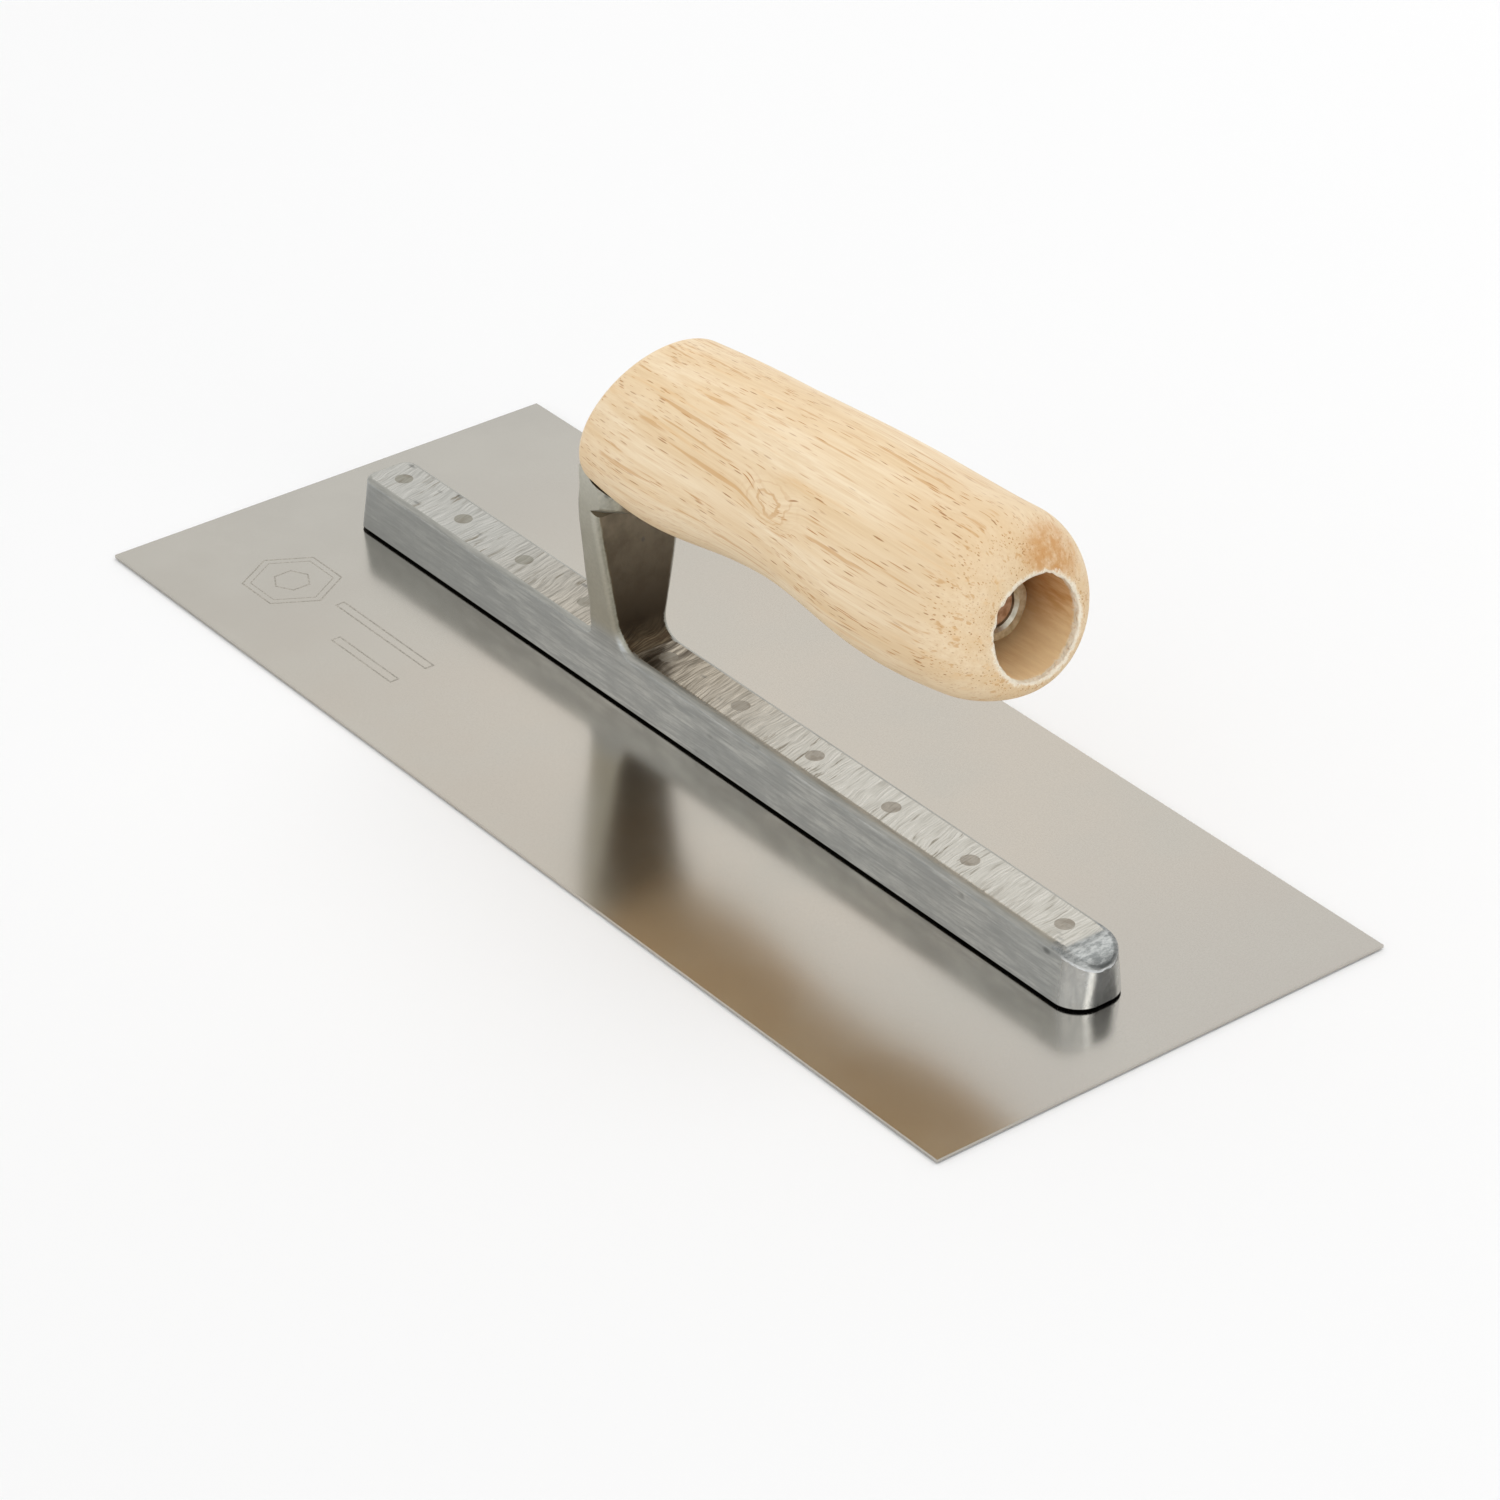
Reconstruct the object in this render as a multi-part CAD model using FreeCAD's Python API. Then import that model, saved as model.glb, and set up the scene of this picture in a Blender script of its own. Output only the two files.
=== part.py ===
import FreeCAD, Part
import math
import os
from FreeCAD import Vector

# Steel finishing trowel, 11-1/2 x 4-3/4 in. Millimetres.
# Origin: centre of the blade's underside. +X runs along the blade towards the open end of
# the handle, +Z is up, and the whole tool is symmetrical about Y = 0.

# Blade
BLADE_LENGTH = 292.1
BLADE_WIDTH = 120.65
BLADE_THICKNESS = 0.7

# Mounting bar, the long foot of the casting
BAR_REAR_X = -123.7
BAR_NOSE_X = 127.2
BAR_TOP_Z = 13.7
BAR_FOOT_HALF_WIDTH = 8.1
BAR_END_DRAFT = 0.2
BAR_BOTTOM_Z = BLADE_THICKNESS
REAR_CORNER_RADIUS = 3.4
NOSE_CORNER_RADIUS = 6.4
NOSE_ROLL_START_X = 119.0
NOSE_ROLL_RADIUS = 11.0
RELIEF_HEIGHT = 0.6
RELIEF_DEPTH = 1.1
BAR_SIDE_BOTTOM_Z = BAR_BOTTOM_Z + RELIEF_HEIGHT

# Shank, the neck that carries the handle
SHANK_FRONT_LOW = (-25.8, 20.0)
SHANK_FRONT_HIGH = (-26.4, 48.0)
SHANK_REAR_LOW = (-35.6, 16.0)
SHANK_REAR_HIGH = (-33.6, 43.0)
FRONT_FOOT_RADIUS = 5.5
REAR_FOOT_RADIUS = 2.4
WAIST_Z = 13.2
# Half width of the casting at each height: bar foot, waist, then the flare of the shank
SIDE_CURVE = [(BAR_FOOT_HALF_WIDTH, BAR_SIDE_BOTTOM_Z), (7.5, 6.0), (6.95, 10.6), (6.8, WAIST_Z),
              (7.45, 18.5), (9.2, 28.0), (11.2, 40.0), (12.8, 51.0), (13.4, 60.0)]
FRONT_EDGE_RADIUS = 1.8
REAR_EDGE_RADIUS = 1.2

# Head of the shank: a raked seat for the handle, a boss for the rod and a lip below
RAKE = 0.36
HEAD_TOP_Z = 77.0
HEAD_THICKNESS = 3.8
BOSS_CENTRE = (-28.0, 67.0)
BOSS_RADIUS = 9.0
BOSS_DEPTH = 7.4
SEAT_LOW_Z = 52.5
HEAD_SHOULDER = (-31.6, 55.5)
HEAD_BEND = (-33.0, 49.5)
HEAD_CROWN = 0.6
SADDLE_AXIS_Z = 71.0
SADDLE_TIP_X = -21.3
SADDLE_TIP_RADIUS = 22.2
SADDLE_BACK_X = -31.0
SADDLE_BACK_RADIUS = 26.0
SADDLE_TIP_HEIGHT = 5.0
SADDLE_HORN = (-22.6, 60.0)
SADDLE_CORNER = [(-27.5, 15.0), (-22.9, 11.0), (-21.3, 5.5)]
SADDLE_EDGE_RADIUS = 1.0

# Rivets
RIVET_RADIUS = 2.15
RIVET_HEAD_RADIUS = 3.6
RIVET_HEAD_HEIGHT = 1.2
REAR_RIVET_X = -116.0
REAR_RIVET_PITCH = 23.3
REAR_RIVET_COUNT = 4
FRONT_RIVET_X = -16.4
FRONT_RIVET_PITCH = 25.3
FRONT_RIVET_COUNT = 5
NOSE_RIVET_X = 114.2

# Handle: stations along X as (x, centre height, radius), from the seat to the open end
HANDLE_STATIONS = [(-23.6, 72.4, 19.4), (-2.7, 72.5, 21.0), (18.0, 75.0, 20.0),
                   (39.0, 76.5, 20.1), (60.0, 75.8, 21.5), (81.0, 76.5, 21.3),
                   (101.3, 79.6, 20.0)]
FRONT_RAKE = -0.15
RAKE_FADES_X = 25.0
FRONT_RAKE_STARTS_X = 80.0
HANDLE_REAR_ROUNDING = 2.5
HANDLE_FRONT_ROUNDING = 12.0

# Rod through the handle, with its nut and washer in a counterbore
ROD_RADIUS = 4.76
ROD_START = Vector(-33.0, 0, 68.3)
ROD_RISE_DEGREES = 3.9
NUT_FACE = 123.4
NUT_THICKNESS = 8.3
NUT_ACROSS_FLATS = 14.3
NUT_COUNTERSINK = 0.7
NUT_CORNER_CHAMFER = 0.95
WASHER_THICKNESS = 1.8
WASHER_RADIUS = 10.2
COUNTERBORE_RADIUS = 11.1
ROD_RECESS = 0.7
ROD_CHAMFER = 0.7
HANDLE_BORE_RADIUS = 5.0

# Working sizes for blanks and for picking edges
FAR = 200.0
CASTING_REACH = 20.0
FOOT_OVERLAP = 1.0
END_SLACK = 1.5
PLANE_SLACK = 0.2
FLAT_EDGE = 0.01
TALL_EDGE = 3.0
LONG_FRONT_EDGE = 100.0
LONG_REAR_EDGE = 60.0


def line(start, end):
    return Part.LineSegment(start, end).toShape()


def arc(start, middle, end):
    return Part.Arc(start, middle, end).toShape()


def side(point):
    """A point (x, z) in the plane of symmetry."""
    return Vector(point[0], 0, point[1])


def front(point):
    """A point (y, z) in the plane X = 0."""
    return Vector(0, point[0], point[1])


def mirrored(point):
    return (-point[0], point[1])


def prism(edges, offset, travel):
    """Extrude the closed loop of edges by travel, after shifting it by offset."""
    face = Part.Face(Part.Wire(Part.__sortEdges__(edges)))
    face.translate(offset)
    return face.extrude(travel)


def across(edges):
    """Extrude a loop drawn in the plane of symmetry to both sides of it."""
    return prism(edges, Vector(0, -CASTING_REACH, 0), Vector(0, 2 * CASTING_REACH, 0))


def polygon(points, to_vector):
    corners = [to_vector(point) for point in points]
    return Part.makePolygon(corners + corners[:1]).Edges


def foot_arc(low, high, radius, direction):
    """Points of the arc that joins the line low-high to the bar's top plane."""
    length = math.hypot(high[0] - low[0], high[1] - low[1])
    along = ((high[0] - low[0]) / length, (high[1] - low[1]) / length)
    normal = (along[1] * direction, -along[0] * direction)
    centre_z = BAR_TOP_Z + radius
    travel = (centre_z - radius * normal[1] - low[1]) / along[1]
    touch = (low[0] + travel * along[0], low[1] + travel * along[1])
    centre_x = touch[0] + radius * normal[0]
    start = math.atan2(touch[1] - centre_z, touch[0] - centre_x)
    if direction > 0 and start > 0:
        start -= 2 * math.pi
    middle = (start - math.pi / 2) / 2
    return touch, (centre_x + radius * math.cos(middle), centre_z + radius * math.sin(middle)), \
        (centre_x, BAR_TOP_Z)


def nose_roll_z(x):
    return BAR_TOP_Z - NOSE_ROLL_RADIUS + math.sqrt(NOSE_ROLL_RADIUS ** 2 - (x - NOSE_ROLL_START_X) ** 2)


def seat_x(z):
    """The raked plane that the rear of the handle rests on."""
    rear_x, rear_z, _ = HANDLE_STATIONS[0]
    return rear_x + RAKE * (z - rear_z)


def side_profile():
    """Bar, shank and head seen from the side, extruded across the tool."""
    front_foot = foot_arc(SHANK_FRONT_LOW, SHANK_FRONT_HIGH, FRONT_FOOT_RADIUS, 1)
    rear_foot = foot_arc(SHANK_REAR_LOW, SHANK_REAR_HIGH, REAR_FOOT_RADIUS, -1)
    nose_top_x = BAR_NOSE_X - BAR_END_DRAFT / 2
    nose_middle_x = (NOSE_ROLL_START_X + nose_top_x) / 2
    head_rear_top = (seat_x(HEAD_TOP_Z) - HEAD_THICKNESS, HEAD_TOP_Z)
    edges = [
        line(side((BAR_REAR_X, BAR_SIDE_BOTTOM_Z)), side((BAR_NOSE_X, BAR_SIDE_BOTTOM_Z))),
        line(side((BAR_NOSE_X, BAR_SIDE_BOTTOM_Z)), side((nose_top_x, nose_roll_z(nose_top_x)))),
        arc(side((nose_top_x, nose_roll_z(nose_top_x))),
            side((nose_middle_x, nose_roll_z(nose_middle_x))),
            side((NOSE_ROLL_START_X, BAR_TOP_Z))),
        line(side((NOSE_ROLL_START_X, BAR_TOP_Z)), side(front_foot[2])),
        arc(side(front_foot[2]), side(front_foot[1]), side(front_foot[0])),
        line(side(front_foot[0]), side(SHANK_FRONT_HIGH)),
        line(side(SHANK_FRONT_HIGH), side((seat_x(SEAT_LOW_Z), SEAT_LOW_Z))),
        line(side((seat_x(SEAT_LOW_Z), SEAT_LOW_Z)), side((seat_x(HEAD_TOP_Z), HEAD_TOP_Z))),
        line(side((seat_x(HEAD_TOP_Z), HEAD_TOP_Z)), side(head_rear_top)),
        line(side(head_rear_top), side(HEAD_SHOULDER)),
        arc(side(HEAD_SHOULDER), side(HEAD_BEND), side(SHANK_REAR_HIGH)),
        line(side(SHANK_REAR_HIGH), side(rear_foot[0])),
        arc(side(rear_foot[0]), side(rear_foot[1]), side(rear_foot[2])),
        line(side(rear_foot[2]), side((BAR_REAR_X + BAR_END_DRAFT, BAR_TOP_Z))),
        line(side((BAR_REAR_X + BAR_END_DRAFT, BAR_TOP_Z)), side((BAR_REAR_X, BAR_SIDE_BOTTOM_Z))),
    ]
    return across(edges)


def side_curve(sign):
    curve = Part.BSplineCurve()
    curve.interpolate([front((sign * half, z)) for half, z in SIDE_CURVE])
    return curve.toShape()


def width_profile():
    """The casting seen along its length, extruded from end to end."""
    low = SIDE_CURVE[0]
    high = SIDE_CURVE[-1]
    edges = [
        side_curve(1),
        arc(front(high), front((0, HEAD_TOP_Z + HEAD_CROWN)), front(mirrored(high))),
        side_curve(-1),
        line(front(mirrored(low)), front(low)),
    ]
    return prism(edges, Vector(-FAR, 0, 0), Vector(2 * FAR, 0, 0))


def edges_where(shape, test):
    return [edge for edge in shape.Edges if test(edge.BoundBox)]


def casting_body():
    body = side_profile().common(width_profile()).Solids[0]
    body = body.makeFillet(NOSE_CORNER_RADIUS, edges_where(
        body, lambda box: box.XMin > BAR_NOSE_X - END_SLACK and box.ZLength > TALL_EDGE))
    body = body.makeFillet(REAR_CORNER_RADIUS, edges_where(
        body, lambda box: box.XMax < BAR_REAR_X + END_SLACK and box.ZLength > TALL_EDGE))
    body = body.makeFillet(FRONT_EDGE_RADIUS, edges_where(
        body, lambda box: box.XLength > LONG_FRONT_EDGE and box.XMin > SHANK_FRONT_HIGH[0]
        and box.ZMin > BAR_TOP_Z - PLANE_SLACK))
    body = body.makeFillet(REAR_EDGE_RADIUS, edges_where(
        body, lambda box: box.XLength > LONG_REAR_EDGE and box.XMax < SHANK_REAR_LOW[0]
        and box.ZMin > BAR_TOP_Z - PLANE_SLACK))
    return body


def relief_foot():
    """The narrower machined seat that leaves a thin shadow gap above the blade."""
    inset = RELIEF_DEPTH
    length = BAR_NOSE_X - BAR_REAR_X - 2 * inset
    width = 2 * (BAR_FOOT_HALF_WIDTH - inset)
    corner = Vector(BAR_REAR_X + inset, -width / 2, BAR_BOTTOM_Z)
    foot = Part.makeBox(length, width, RELIEF_HEIGHT + FOOT_OVERLAP, corner)
    nose_edges = edges_where(foot, lambda box: box.ZLength > RELIEF_HEIGHT and box.XMin > 0)
    foot = foot.makeFillet(NOSE_CORNER_RADIUS - inset / 2, nose_edges)
    rear_edges = edges_where(foot, lambda box: box.ZLength > RELIEF_HEIGHT and box.XMax < 0)
    return foot.makeFillet(REAR_CORNER_RADIUS - inset / 2, rear_edges)


def saddle_plan():
    """The lip seen from above: square behind and rounded over at its front corners."""
    near = [Vector(x, y, 0) for x, y in SADDLE_CORNER]
    far = [Vector(x, -y, 0) for x, y in SADDLE_CORNER]
    back = [Vector(SADDLE_BACK_X, half, 0) for half in (SADDLE_CORNER[0][1], -SADDLE_CORNER[0][1])]
    edges = [
        line(back[0], near[0]),
        arc(near[0], near[1], near[2]),
        line(near[2], far[2]),
        arc(far[2], far[1], far[0]),
        line(far[0], back[1]),
        line(back[1], back[0]),
    ]
    return prism(edges, Vector(0, 0, 0), Vector(0, 0, SADDLE_AXIS_Z))


def saddle():
    """Lip under the rear of the handle: it hugs the wood and flares down into the shank."""
    cone = Part.makeCone(SADDLE_BACK_RADIUS, SADDLE_TIP_RADIUS, SADDLE_TIP_X - SADDLE_BACK_X,
                         Vector(SADDLE_BACK_X, 0, SADDLE_AXIS_Z), Vector(1, 0, 0))
    low_z = SADDLE_AXIS_Z - SADDLE_BACK_RADIUS
    tip_z = SADDLE_AXIS_Z - SADDLE_TIP_RADIUS + SADDLE_TIP_HEIGHT
    outline = [(SADDLE_BACK_X, low_z), (SADDLE_TIP_X, low_z), (SADDLE_TIP_X, tip_z), SADDLE_HORN,
               (SADDLE_BACK_X, SADDLE_HORN[1])]
    lip = cone.common(across(polygon(outline, side))).common(width_profile()).common(saddle_plan())
    highest = tip_z - SADDLE_EDGE_RADIUS
    rim = edges_where(lip, lambda box: box.XMin > SADDLE_CORNER[0][0] and box.ZMax < highest)
    return lip.makeFillet(SADDLE_EDGE_RADIUS, rim)


def boss():
    """Rounded swelling behind the seat that takes the rod."""
    ball = Part.makeSphere(BOSS_RADIUS)
    squash = FreeCAD.Matrix()
    squash.scale(BOSS_DEPTH / BOSS_RADIUS, 1, 1)
    ball = ball.transformGeometry(squash)
    ball.translate(side(BOSS_CENTRE))
    low = BOSS_CENTRE[1] - 2 * BOSS_RADIUS
    high = BOSS_CENTRE[1] + 2 * BOSS_RADIUS
    behind = [(seat_x(low), low), (seat_x(high), high), (-FAR, high), (-FAR, low)]
    return ball.common(across(polygon(behind, side)))


def along_rod(shape, distance=0.0):
    """Place a shape built along +X from the origin onto the rod's axis."""
    turned = shape.copy()
    turned.translate(Vector(distance, 0, 0))
    turned.rotate(Vector(0, 0, 0), Vector(0, 1, 0), -ROD_RISE_DEGREES)
    turned.translate(ROD_START)
    return turned


def rod_cylinder(radius, length, distance=0.0):
    return along_rod(Part.makeCylinder(radius, length, Vector(0, 0, 0), Vector(1, 0, 0)), distance)


def rivet_positions():
    rear = [REAR_RIVET_X + REAR_RIVET_PITCH * i for i in range(REAR_RIVET_COUNT)]
    front_row = [FRONT_RIVET_X + FRONT_RIVET_PITCH * i for i in range(FRONT_RIVET_COUNT)]
    return rear + front_row + [NOSE_RIVET_X]


def make_blade():
    corner = Vector(-BLADE_LENGTH / 2, -BLADE_WIDTH / 2, 0)
    return Part.makeBox(BLADE_LENGTH, BLADE_WIDTH, BLADE_THICKNESS, corner)


def make_rivets():
    """Studs with flat heads against the blade and shanks ground flush with the bar's top."""
    rivets = []
    for x in rivet_positions():
        foot = Vector(x, 0, BAR_BOTTOM_Z)
        stud = Part.makeCylinder(RIVET_RADIUS, BAR_TOP_Z - BAR_BOTTOM_Z, foot)
        head = Part.makeCylinder(RIVET_HEAD_RADIUS, RIVET_HEAD_HEIGHT, foot)
        rivets.append(stud.fuse(head).removeSplitter())
    return Part.makeCompound(rivets)


def make_mounting():
    casting = casting_body()
    for extra in (relief_foot(), saddle(), boss()):
        casting = casting.fuse(extra)
    casting = casting.cut(handle_blank()).cut(make_rivets()).cut(make_rod())
    return casting.removeSplitter()


def make_rod():
    length = NUT_FACE - ROD_RECESS
    rod = Part.makeCylinder(ROD_RADIUS, length, Vector(0, 0, 0), Vector(1, 0, 0))
    ends = edges_where(rod, lambda box: box.XLength < FLAT_EDGE)
    return along_rod(rod.makeChamfer(ROD_CHAMFER, ends))


def hexagon(radius):
    return [(radius * math.cos(math.pi / 3 * i), radius * math.sin(math.pi / 3 * i)) for i in range(6)]


def make_nut():
    """Hexagon nut with both faces turned down at the corners and a countersunk bore."""
    corner_radius = NUT_ACROSS_FLATS / math.sqrt(3)
    body = prism(polygon(hexagon(corner_radius), front), Vector(0, 0, 0), Vector(NUT_THICKNESS, 0, 0))
    blank = Part.makeCylinder(corner_radius, NUT_THICKNESS, Vector(0, 0, 0), Vector(1, 0, 0))
    rims = edges_where(blank, lambda box: box.XLength < FLAT_EDGE)
    body = body.common(blank.makeChamfer(NUT_CORNER_CHAMFER, rims))
    body = body.cut(Part.makeCylinder(ROD_RADIUS, NUT_THICKNESS, Vector(0, 0, 0), Vector(1, 0, 0)))
    for start, direction in ((0, 1), (NUT_THICKNESS, -1)):
        countersink = Part.makeCone(ROD_RADIUS + NUT_COUNTERSINK, ROD_RADIUS, NUT_COUNTERSINK,
                                    Vector(start, 0, 0), Vector(direction, 0, 0))
        body = body.cut(countersink)
    return along_rod(body, NUT_FACE - NUT_THICKNESS)


def make_washer():
    back = NUT_FACE - NUT_THICKNESS - WASHER_THICKNESS
    disc = rod_cylinder(WASHER_RADIUS, WASHER_THICKNESS, back)
    return disc.cut(rod_cylinder(HANDLE_BORE_RADIUS, WASHER_THICKNESS, back))


def section_rake(x):
    """Lean of the handle's cross-sections: that of the seat, then none, then that of the open end."""
    rear_x = HANDLE_STATIONS[0][0]
    front_x = HANDLE_STATIONS[-1][0]
    if x < RAKE_FADES_X:
        return RAKE * (RAKE_FADES_X - x) / (RAKE_FADES_X - rear_x)
    return FRONT_RAKE * max(0.0, x - FRONT_RAKE_STARTS_X) / (front_x - FRONT_RAKE_STARTS_X)


def handle_section(x, centre_z, radius):
    """Round section of the handle, sheared along X so that its plane leans."""
    circle = Part.Wire([Part.Circle(Vector(0, 0, 0), Vector(1, 0, 0), radius).toShape()])
    lean = FreeCAD.Matrix()
    lean.A13 = section_rake(x)
    section = circle.transformGeometry(lean)
    section.translate(Vector(x, 0, centre_z))
    return section


def handle_blank():
    """The turned grip before it is bored."""
    sections = [handle_section(*station) for station in HANDLE_STATIONS]
    handle = Part.makeLoft(sections, True)
    rear_edge = edges_where(handle, lambda box: box.XMax < 0)
    handle = handle.makeFillet(HANDLE_REAR_ROUNDING, rear_edge)
    open_edge = edges_where(handle, lambda box: box.XMin > RAKE_FADES_X)
    return handle.makeFillet(HANDLE_FRONT_ROUNDING, open_edge)


def make_handle():
    bore_floor = NUT_FACE - NUT_THICKNESS - WASHER_THICKNESS
    handle = handle_blank().cut(rod_cylinder(HANDLE_BORE_RADIUS, FAR))
    return handle.cut(rod_cylinder(COUNTERBORE_RADIUS, FAR, bore_floor))


NODES = {
    "blade": make_blade,
    "mounting": make_mounting,
    "rivets": make_rivets,
    "handle": make_handle,
    "handle_rod": make_rod,
    "handle_washer": make_washer,
    "handle_nut": make_nut,
}

os.makedirs("parts", exist_ok=True)
for name, make in NODES.items():
    make().exportStep("parts/" + name + ".step")
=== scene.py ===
import math

import bpy
import numpy as np
from mathutils import Matrix, Vector


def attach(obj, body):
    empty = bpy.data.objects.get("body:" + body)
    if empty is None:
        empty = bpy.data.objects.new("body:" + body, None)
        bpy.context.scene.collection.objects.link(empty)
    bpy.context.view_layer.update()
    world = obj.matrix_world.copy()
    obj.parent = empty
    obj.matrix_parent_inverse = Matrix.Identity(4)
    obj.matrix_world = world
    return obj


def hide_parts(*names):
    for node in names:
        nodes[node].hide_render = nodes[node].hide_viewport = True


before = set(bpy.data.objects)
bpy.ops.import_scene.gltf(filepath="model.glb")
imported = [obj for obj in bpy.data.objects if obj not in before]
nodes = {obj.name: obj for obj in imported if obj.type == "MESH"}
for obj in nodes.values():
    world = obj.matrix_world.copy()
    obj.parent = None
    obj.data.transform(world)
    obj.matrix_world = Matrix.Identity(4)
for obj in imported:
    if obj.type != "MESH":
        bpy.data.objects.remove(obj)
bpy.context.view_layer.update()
scene = bpy.context.scene

MM = 0.001

# ---------------------------------------------------------------- sizes in millimetres

# Handle stations along X as (x, centre height, radius), as the CAD part has them
HANDLE_STATIONS = [(-23.6, 72.4, 19.4), (-2.7, 72.5, 21.0), (18.0, 75.0, 20.0),
                   (39.0, 76.5, 20.1), (60.0, 75.8, 21.5), (81.0, 76.5, 21.3),
                   (101.3, 79.6, 20.0)]
# The grip is this much smaller all round, so that it stays inside the CAD part's box
GRIP_EASE = 0.12
REAR_RAKE = 0.36
FRONT_RAKE = -0.15
RAKE_FADES_X = 25.0
FRONT_RAKE_STARTS_X = 80.0
REAR_ROUNDING = 2.5
DOME_LENGTH = 14.0
ROD_START = (-33.0, 68.3)
ROD_SLOPE = math.tan(math.radians(3.9))
ROD_HOLE_RADIUS = 5.0
MOUTH_CENTRE = HANDLE_STATIONS[-1][:2]
MOUTH_RADIUS = 11.1
MOUTH_LIP = 1.2
COUNTERBORE_FLOOR = 80.2
# Chips round the mouth as (waves, depth), and how far out on the dome they start, from 0 to 1
CHIPS = [(40, 0.22), (90, 0.16)]
CHIPS_START = 0.93
RING_POINTS = 256

BLADE_TOP = 0.7
MARK_CENTRE = (-112.0, -34.5)
# Hexagons of the etched mark as (radius, line width, turn)
MARK_HEXAGONS = [(11.5, 0.45, 0.0), (9.6, 0.3, 0.0), (4.6, 0.45, math.pi / 6)]
# Empty bars of the etched mark as (lower left corner, length)
MARK_BARS = [((-97.0, -33.0), 35.0), ((-85.0, -42.5), 23.0)]
MARK_BAR_WIDTH = 2.6
MARK_BAR_LINE = 0.4
MARK_DEPTH = 0.01
MARK_HEIGHT = 0.012

# ---------------------------------------------------------------- places of finishes in metres

# Each pair says where a finish starts and where it is complete
TOP_Z = (0.0125, 0.0130)
# the next two: where the scale and painted shade on the shank's front start, and where they thin out
SCALE_AND_SHADE_Z = (0.0126, 0.0130)
SCALE_AND_SHADE_THINS_Z = (0.018, 0.054)
SIDE_Z = (0.0190, 0.0145)
EDGE_LOW_Z = (0.0112, 0.0120)
EDGE_HIGH_Z = (0.0142, 0.0136)
# painted shade in the gap where the bar stands off the blade
STANDOFF_SHADE_Z = (0.00150, 0.00135)
SHANK_X = -0.028
BEVEL_X = (0.1165, 0.1185)
POLISH_X = (0.1195, 0.1225)
TOP_DARK_PATCH_X = (-0.0060, -0.0175)
TOP_DARK_PATCH_REAR_X = -0.0285
KNOT = (0.0400, -0.0180, 0.0840)
DOME_STAIN = (0.0995, 0.0060, 0.0915)
BORE_WALL = (0.01150, 0.01118)
BORE_X = (0.078, 0.080)
BORE_RIM_RADIUS = 0.0113

# The usual middle range of a noise
MIDDLE = (0.3, 0.7)

# ---------------------------------------------------------------- studio

FLOOR_SIZE = 12
FLOOR_Z = -0.0004
WORLD_LEVEL = 0.98
# What isn't white in the surroundings: direction, cosines at the edge and the middle, and added level
WORLD_PATCHES = [((0.70, 0.62, 0.34), 0.78, 0.92, -0.86),
                 ((0.84, -0.10, 0.53), 0.975, 0.99, 2.0),
                 ((-0.65, -0.54, 0.50), 0.80, 0.96, -0.26)]
AZIMUTH = math.radians(50.43)
ELEVATION = math.radians(32.32)
ROLL = math.radians(1.17)
CAMERA_PLACE = (0.75409, -0.60235, 0.60882)
LENS = 125.63
SENSOR_WIDTH = 36.0
SHIFT_X = -0.0253


# ---------------------------------------------------------------- node helpers

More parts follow.
